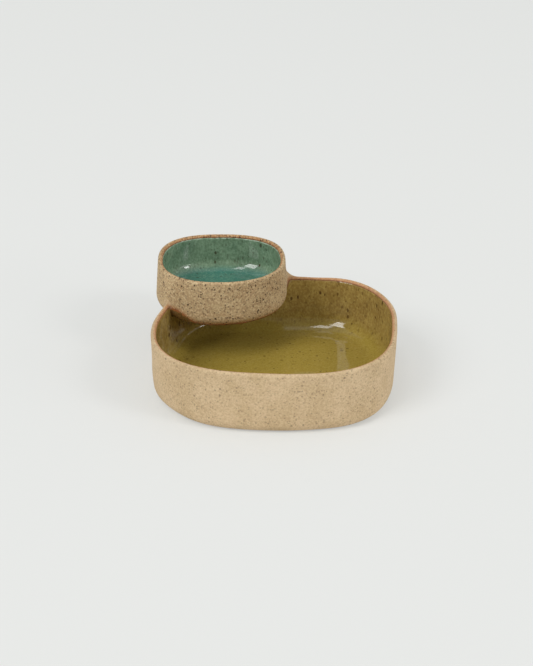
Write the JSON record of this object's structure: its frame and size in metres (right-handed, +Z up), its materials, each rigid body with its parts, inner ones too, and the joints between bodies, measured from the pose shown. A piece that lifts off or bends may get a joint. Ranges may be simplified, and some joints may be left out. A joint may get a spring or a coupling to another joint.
{
  "type": "chip and dip bowl",
  "caption": "Low rounded-square stoneware chip bowl with a small dip bowl fused onto its back left corner, bare speckled clay outside and glossy glaze inside.",
  "frame": {"origin": "middle of the chip bowl's flat foot, on the surface that it stands on", "axes": "+Z up; +Y to the back, where the dip bowl is; +X to the right, seen from the front"},
  "size_m": [0.2289, 0.2417, 0.0873],
  "materials": {
    "bare_stoneware": "matt fired sand-coloured clay with fine dark brown specks",
    "olive_glaze": "glossy olive glaze with brown specks, thinner and browner on the walls",
    "teal_glaze": "glossy teal green glaze with brown specks, deeper blue green where it pools"
  },
  "bodies": {
    "root": {"chip_bowl": "bare_stoneware", "dip_bowl": "bare_stoneware", "join_seam": "bare_stoneware", "chip_bowl_glaze": "olive_glaze", "dip_underside_glaze": "olive_glaze", "dip_bowl_glaze": "teal_glaze"}
  },
  "joints": []
}
